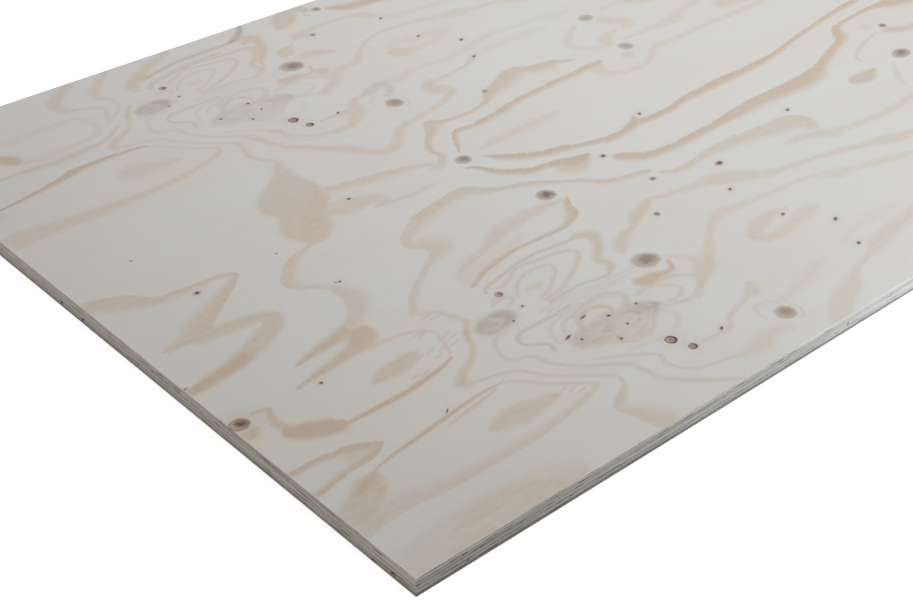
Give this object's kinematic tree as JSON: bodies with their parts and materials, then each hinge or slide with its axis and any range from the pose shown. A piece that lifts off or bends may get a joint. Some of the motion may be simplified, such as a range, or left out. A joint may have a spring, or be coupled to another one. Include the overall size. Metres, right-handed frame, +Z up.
{
  "type": "plywood sheet",
  "caption": "Flat rectangular sheet of softwood plywood: cross-laminated rotary-cut veneers glued together and sawn square, knotty pale face veneer.",
  "frame": {"origin": "middle of the sheet's underside", "axes": "+X along the length, which is the grain of the face, core and back veneers; +Y across the width; +Z up through the thickness, out of the face veneer"},
  "size_m": [2.44, 1.22, 0.025],
  "materials": {
    "face": "lightly sanded pale softwood veneer with peach growth-ring figure, knots and pin knots, matt",
    "crossband": "sawn veneer edge, end grain on the long edges, matt",
    "core": "sawn veneer edge, end grain on the short edges, matt",
    "back": "unsanded softwood veneer with growth-ring figure and knots, matt"
  },
  "bodies": {
    "root": {"back_veneer": "back", "lower_crossband": "crossband", "core_veneer": "core", "upper_crossband": "crossband", "face_veneer": "face"}
  },
  "joints": []
}
